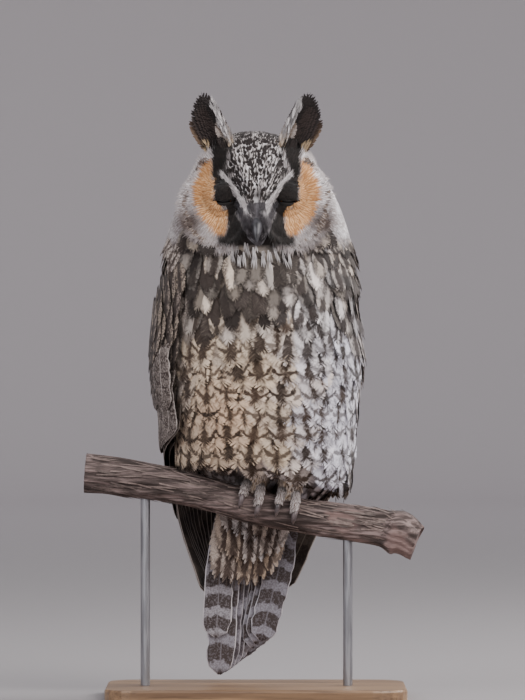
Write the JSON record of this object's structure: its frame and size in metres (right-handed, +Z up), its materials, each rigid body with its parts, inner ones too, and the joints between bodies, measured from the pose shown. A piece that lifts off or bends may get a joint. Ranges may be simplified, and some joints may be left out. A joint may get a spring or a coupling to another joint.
{
  "type": "long-eared owl display model",
  "caption": "Life-size still model of a long-eared owl, eyes nearly shut, gripping a short cut of branch on a plain stand with a flat base and rods.",
  "frame": {"origin": "centre of the underside of the stand's flat base, which is the lowest point", "axes": "+Z up along the owl, -Y the way its face looks, +X to the owl's left"},
  "size_m": [0.2137, 0.134, 0.3842],
  "materials": {
    "plumage": "soft mottled buff and brown body feathers",
    "flight_feathers": "dark brown barred flight feathers",
    "tail_feathers": "grey barred tail feathers",
    "tuft_feathers": "near-black tuft feathers with pale edges",
    "horn": "dark horn of bill and claws",
    "toe_feathers": "short whitish buff feathers on the toes",
    "eye": "wet dark eye with an orange iris",
    "bark": "fibrous grey-brown bark",
    "stand_board": "plain matt varnished board",
    "stand_metal": "satin steel rod"
  },
  "bodies": {
    "root": {"head": "plumage", "neck": "plumage", "torso": "plumage", "leg_left": "plumage", "leg_right": "plumage", "wing_left": "flight_feathers", "wing_right": "flight_feathers", "tail": "tail_feathers", "ear_tuft_left": "tuft_feathers", "ear_tuft_right": "tuft_feathers", "bill_upper": "horn", "bill_lower": "horn", "talon_left_1": "horn", "talon_left_2": "horn", "talon_left_3": "horn", "talon_left_4": "horn", "talon_right_1": "horn", "talon_right_2": "horn", "talon_right_3": "horn", "talon_right_4": "horn", "foot_left": "toe_feathers", "foot_right": "toe_feathers", "eye_left": "eye", "eye_right": "eye", "perch_branch": "bark", "stand_base": "stand_board", "stand_rod_left": "stand_metal", "stand_rod_right": "stand_metal"}
  },
  "joints": []
}
